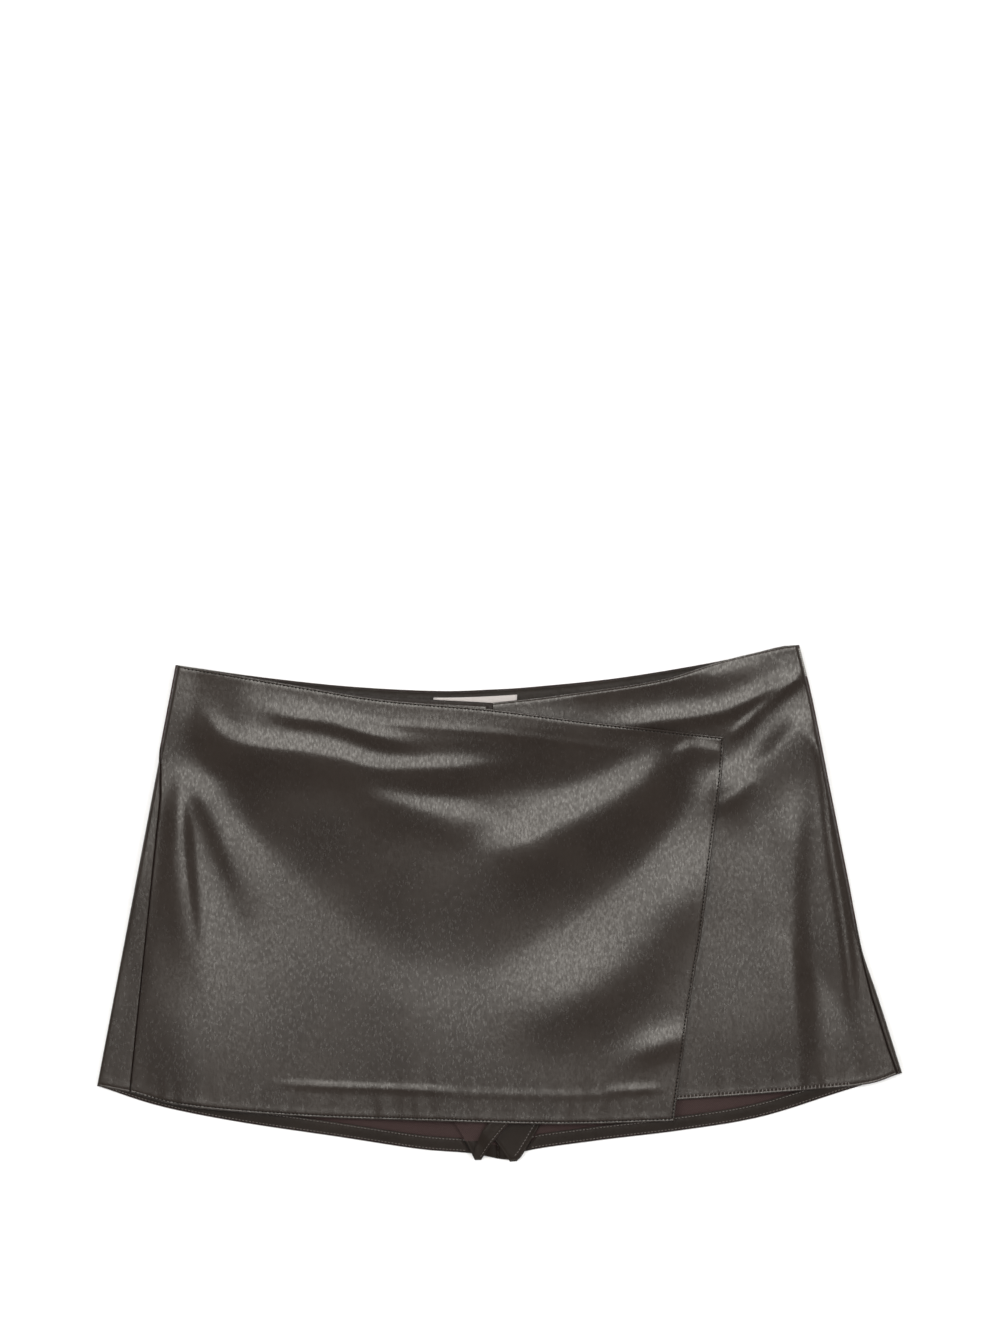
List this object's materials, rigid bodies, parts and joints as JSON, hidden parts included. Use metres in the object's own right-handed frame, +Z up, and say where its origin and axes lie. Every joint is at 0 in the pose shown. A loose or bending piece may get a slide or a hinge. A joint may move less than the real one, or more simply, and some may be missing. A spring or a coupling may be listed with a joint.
{
  "type": "wrap skort",
  "caption": "Short leather-look wrap skort laid flat: shorts with a wide overlapping front panel, turned hems, waist facing and a concealed side zip.",
  "frame": {"origin": "middle of the garment's outline, on the surface it lies on", "axes": "+X toward the viewer's right, across the garment; +Y toward the waist; +Z up, out of the front"},
  "size_m": [0.5394, 0.3464, 0.0095],
  "materials": {
    "leather": "dark brown faux leather with a fine grain and a soft sheen",
    "wrong_side": "brown knitted backing, matt",
    "label": "pale bare woven label",
    "zip": "dark zip tape"
  },
  "bodies": {
    "root": {"back_left": "leather", "back_right": "leather", "back_left_hem": "leather", "back_right_hem": "leather", "back_waist_facing": "leather", "waist_label": "label", "front_left": "leather", "front_right": "leather", "inner_leg_left": "wrong_side", "inner_leg_left_hem": "leather", "inner_leg_right": "leather", "wrap_front": "leather", "side_zip": "zip"}
  },
  "joints": []
}
